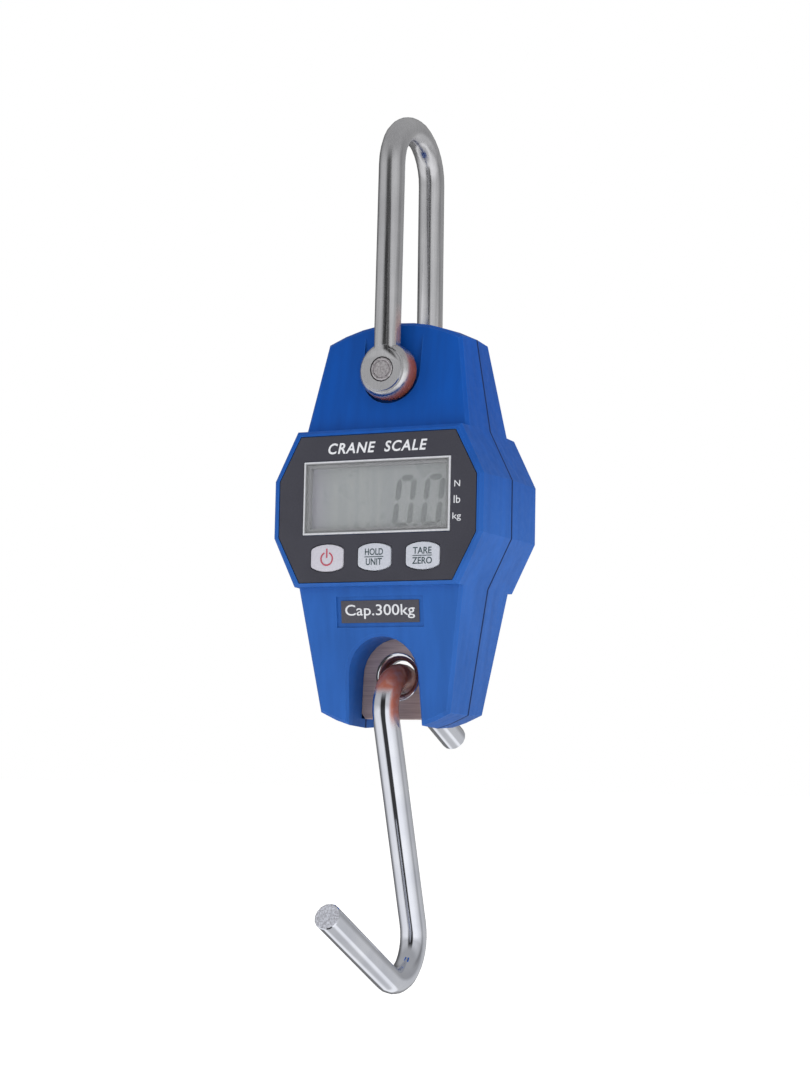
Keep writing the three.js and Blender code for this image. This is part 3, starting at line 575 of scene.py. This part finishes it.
panelLow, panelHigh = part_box("front_panel")
windowLow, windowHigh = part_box("window_frame")
panelY = panelLow.y - inkDepth
headingLook = {"words": "CRANE  SCALE", "width": 41.0, "height": 4.1, "shear": 0.22, "bold": 0.02,
               "spacing": 1.14, "right": 0.2, "down": 0.1}
headingZ = (panelHigh.z + windowHigh.z) / 2 - headingLook["down"] * mm
headingAt = Vector((headingLook["right"] * mm, panelY, headingZ))
inkText("heading_print", headingLook["words"], headingLook["width"], headingLook["height"], headingAt,
        printWhite, "housing", headingLook["shear"], headingLook["bold"],
        spacing=headingLook["spacing"])

unitLook = {"names": ("N", "lb", "kg"), "widths": (2.3, 2.6, 3.4), "heights": (2.3, 2.8, 3.1),
            "drops": (10.3, 16.1, 22.5), "out": 2.75}
for word, width, height, drop in zip(unitLook["names"], unitLook["widths"], unitLook["heights"],
                                     unitLook["drops"]):
    place = Vector((windowHigh.x + unitLook["out"] * mm, panelY, windowHigh.z - drop * mm))
    inkText("unit_print_" + word, word, width, height, place, printWhite, "housing")


def keyFace(node):
    low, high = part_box(node)
    return Vector(((low.x + high.x) / 2, low.y - inkDepth, (low.z + high.z) / 2))


keyLook = {"lift": 1.85, "height": 2.5, "line": 7.8, "stroke": 0.3, "bold": 0.014,
           "hold_button": ("HOLD", 7.5, "UNIT", 6.6), "tare_button": ("TARE", 7.6, "ZERO", 8.0)}
for key in ("hold_button", "tare_button"):
    upper, upperWidth, lower, lowerWidth = keyLook[key]
    face = keyFace(key)
    short = key.split("_")[0]
    lift = Vector((0, 0, keyLook["lift"] * mm))
    inkText(short + "_print_upper", upper, upperWidth, keyLook["height"], face + lift, printDark, key,
            bold=keyLook["bold"])
    inkText(short + "_print_lower", lower, lowerWidth, keyLook["height"], face - lift, printDark, key,
            bold=keyLook["bold"])
    half = keyLook["line"] / 2
    inkShapes(short + "_print_line", stroke([(-half, 0), (half, 0)], keyLook["stroke"]), face, printDark, key)

powerLook = {"radius": 2.4, "stroke": 0.6, "opening": 24, "stem": (0.3, 3.8), "drop": 0.3, "steps": 28}


def powerMark(look):
    start, stop = math.radians(90 + look["opening"]), math.radians(450 - look["opening"])
    angles = [start + (stop - start) * i / look["steps"] for i in range(look["steps"] + 1)]
    ring = [(look["radius"] * math.cos(a), look["radius"] * math.sin(a) - look["drop"]) for a in angles]
    stem = [(0, end - look["drop"]) for end in look["stem"]]
    return stroke(ring, look["stroke"]) + stroke(stem, look["stroke"])


inkShapes("power_print", powerMark(powerLook), keyFace("power_button"), printRed, "power_button")

labelLook = {"words": "Cap.300kg", "width": 28.8, "height": 5.3, "out": 0.16, "thick": 0.2,
             "bold": 0.006}
labelLow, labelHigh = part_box("capacity_label")
labelLean = labelHigh.y - labelLow.y - labelLook["thick"] * mm
labelTilt = math.asin(min(1, labelLean / (labelHigh.z - labelLow.z)))
labelMiddle = (labelLow + labelHigh) / 2
labelFront = labelMiddle + Vector((0, -math.cos(labelTilt), -math.sin(labelTilt))) * labelLook["out"] * mm
inkText("capacity_print", labelLook["words"], labelLook["width"], labelLook["height"], labelFront,
        printWhite, "housing", bold=labelLook["bold"], tilt=labelTilt)

# display segments
digitLook = {"width": 8.2, "height": 19.8, "thick": 2.2, "gap": 0.35, "slant": 0.12,
             "places": (10.5, 22.1), "drop": 2.2, "pointRight": 15.0, "pointDown": 9.1,
             "pointOutline": ((-0.85, -0.85), (0.8, -0.85), (1.0, 0.85), (-0.65, 0.85))}
ghostLook = {"marksAt": (22.5, 9.6), "markStroke": 0.35, "barsAt": (-21.5, 8.4), "barStroke": 0.28,
             "count": 3, "markStep": 2.2, "barStep": 1.3, "barHalf": 5}
glassLow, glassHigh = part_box("display_glass")
displayMiddle = Vector((0, glassLow.y - inkDepth, (windowLow.z + windowHigh.z) / 2))


def onDisplay(right, up):
    return displayMiddle + Vector((right * mm, 0, up * mm))


def bar(ax, az, bx, bz, thick):
    # one display segment with pointed ends
    length = math.hypot(bx - ax, bz - az)
    ux, uz = (bx - ax) / length, (bz - az) / length
    nx, nz = -uz * thick / 2, ux * thick / 2
    tip = thick / 2
    return [(ax, az), (ax + ux * tip + nx, az + uz * tip + nz), (bx - ux * tip + nx, bz - uz * tip + nz),
            (bx, bz), (bx - ux * tip - nx, bz - uz * tip - nz), (ax + ux * tip - nx, az + uz * tip - nz)]


def digitBars(look):
    t, g = look["thick"], look["gap"]
    w, h = (look["width"] - t) / 2, (look["height"] - t) / 2
    upright = [(-w, g, -w, h - g), (w, g, w, h - g), (-w, -h + g, -w, -g), (w, -h + g, w, -g)]
    level = [(-w + g, h, w - g, h), (-w + g, -h, w - g, -h)]
    return [[(x + z * look["slant"], z) for x, z in bar(*line, t)] for line in upright + level]


for index, x in enumerate(digitLook["places"]):
    inkShapes(f"display_digit_{index + 1}", digitBars(digitLook), onDisplay(x, -digitLook["drop"]),
              segmentInk, "housing")
pointAt = onDisplay(digitLook["pointRight"], -(digitLook["drop"] + digitLook["pointDown"]))
inkShapes("display_point", [digitLook["pointOutline"]], pointAt, segmentInk, "housing")


# pale inactive signs in the display's upper corners
def ghostMarks(look):
    quads = []
    for i in range(look["count"]):
        left = -3 + look["markStep"] * i
        quads += stroke([(left, -0.6), (left + 1, 0.7), (left + 2, -0.6)], look["markStroke"])
    return quads


def ghostBars(look):
    quads = []
    for i in range(look["count"]):
        level = look["barStep"] * (i - 1)
        quads += stroke([(-look["barHalf"], level), (look["barHalf"], level)], look["barStroke"])
    return quads


inkShapes("display_ghost_marks", ghostMarks(ghostLook), onDisplay(*ghostLook["marksAt"]), ghostInk,
          "housing")
inkShapes("display_ghost_bars", ghostBars(ghostLook), onDisplay(*ghostLook["barsAt"]), ghostInk,
          "housing")


liningLook = {"opening": 1.65, "thick": 0.6, "flange": 0.75, "flangeThick": 0.12, "frontGap": 0.03,
              "backGap": 0.05}


def windowLining(look):
    # grey sleeve with a thin front flange, lining the housing's opening behind the clear window; its grey is
    # painted shade inside the opening
    reach = windowHigh.x - look["opening"] * mm
    rise = (windowHigh.z - windowLow.z) / 2 - look["opening"] * mm
    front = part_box("display_window")[1].y + look["frontGap"] * mm
    back = glassLow.y - look["backGap"] * mm
    mesh = bpy.data.meshes.new("window_lining")
    bm = bmesh.new()
    inner, flange = look["thick"] * mm, look["flange"] * mm
    step = front + look["flangeThick"] * mm
    section = [(-inner, front), (flange, front), (flange, step), (0, step), (0, back), (-inner, back)]
    loops = [[bm.verts.new((sx * (reach + out), y, sz * (rise + out))) for out, y in section]
             for sx, sz in ((-1, -1), (1, -1), (1, 1), (-1, 1))]
    for a, b in zip(loops, loops[1:] + loops[:1]):
        for k in range(len(section)):
            n = (k + 1) % len(section)
            bm.faces.new((a[k], a[n], b[n], b[k]))
    bmesh.ops.recalc_face_normals(bm, faces=bm.faces)
    bm.to_mesh(mesh)
    bm.free()
    piece = addObject("window_lining", mesh)
    piece.location = (0, 0, (windowLow.z + windowHigh.z) / 2)
    finishMark(piece, liningShadeGrey, "housing")


windowLining(liningLook)
print("printed marks made")

# floor, surrounding light and lamps
studioLook = {"floorDrop": 0.09, "floorHalf": 30, "floorColour": (0.93, 0.93, 0.94), "floorGlow": 0.6,
              "diffuse": 0.62, "overhead": 0.42, "above": 0.62, "table": 1.05, "below": 0.6,
              "bands": (("overhead", 0.25, 0.75), ("table", -0.6, -0.7), ("below", -0.76, -0.86)),
              "room": ((-180, 0.45), (-150, 0.2), (-112, 0.2), (-76, 0.9), (-34, 1.0), (-22, 0.8),
                       (-14, 0.05), (20, 0.05), (27, 1.15), (60, 1.1), (95, 0.8), (112, 0.4), (132, 0.62),
                       (180, 0.62))}
# each lamp: place, width and height, power
lampLook = {"sideLamp": ((1.1, -0.35, 0.15), (0.7, 1.1), 5), "leftLamp": ((-0.9, -0.75, 0.25), (0.5, 1.0), 3),
            "topLamp": ((0.1, -0.3, 1.1), (0.9, 0.9), 3)}


def makeFloor(look):
    mesh = bpy.data.meshes.new("studio_floor")
    bm = bmesh.new()
    bmesh.ops.create_grid(bm, x_segments=8, y_segments=8, size=look["floorHalf"])
    bm.to_mesh(mesh)
    bm.free()
    floor = addObject("studio_floor", mesh)
    floor.location = (0, 0, cadBox[0].z - look["floorDrop"])
    paper = Finish("studioPaper", look["floorColour"], 0.8, Emission_Color=(1, 1, 1, 1),
                   Emission_Strength=look["floorGlow"])
    paper.colour(paper.mixed(paper.noise(6, 2), (0.92, 0.92, 0.93), look["floorColour"]))
    mesh.materials.append(paper.material)
    floor.visible_glossy = False


def aroundCurve(room, look):
    # strength of the light by direction round the object, from rear left through front to rear right
    turn = room.math("ARCTAN2", room.axis("X"), room.math("MULTIPLY", room.axis("Y"), -1))
    node = room.tree.nodes.new("ShaderNodeFloatCurve")
    node.mapping.use_clip = False
    curve = node.mapping.curves[0]
    stops = [((angle + 180) / 360, strength / 2) for angle, strength in look["room"]]
    curve.points[0].location, curve.points[1].location = stops[0], stops[-1]
    for place in stops[1:-1]:
        curve.points.new(*place)
    for point in curve.points:
        point.handle_type = "VECTOR"
    node.mapping.update()
    room.link(room.ranged(turn, -math.pi, math.pi), node.inputs["Value"])
    return node.outputs[0]


def makeRoom(look):
    # bright panels to the left and right of the camera with a dark gap between them,
    # seen only in shiny surfaces; matt surfaces and the camera see an even light
    world = bpy.data.worlds.new("studioRoom")
    bpy.context.scene.world = world
    world.use_nodes = True
    room = NodeKit(world.node_tree, "Generated")
    dimmed = room.ranged(room.axis("Z"), -0.12, 0.1, 2, 2 * look["above"])
    strength = room.math("MULTIPLY", aroundCurve(room, look), dimmed)
    for level, start, stop in look["bands"]:
        band = room.ranged(room.axis("Z"), start, stop, smooth=True)
        strength = room.blended(band, strength, look[level])
    path = room.tree.nodes.new("ShaderNodeLightPath")
    strength = room.blended(path.outputs["Is Diffuse Ray"], strength, look["diffuse"])
    strength = room.blended(path.outputs["Is Camera Ray"], strength, 1.0)
    background = room.tree.nodes["Background"]
    background.inputs["Color"].default_value = (1, 1, 1, 1)
    room.link(strength, background.inputs["Strength"])


def makeLamp(name, place, size, power, aimAt):
    data = bpy.data.lights.new(name, "AREA")
    data.shape = "RECTANGLE"
    data.size, data.size_y = size
    data.energy = power
    lamp = addObject(name, data)
    lamp.location = place
    lamp.rotation_euler = (Vector(aimAt) - Vector(place)).to_track_quat("-Z", "Y").to_euler()
    lamp.visible_glossy = False


makeFloor(studioLook)
makeRoom(studioLook)
middle = (cadBox[0] + cadBox[1]) / 2
for name, (place, size, power) in lampLook.items():
    makeLamp(name, place, size, power, middle)
bpy.context.scene.view_settings.view_transform = "Standard"
print("studio lit")
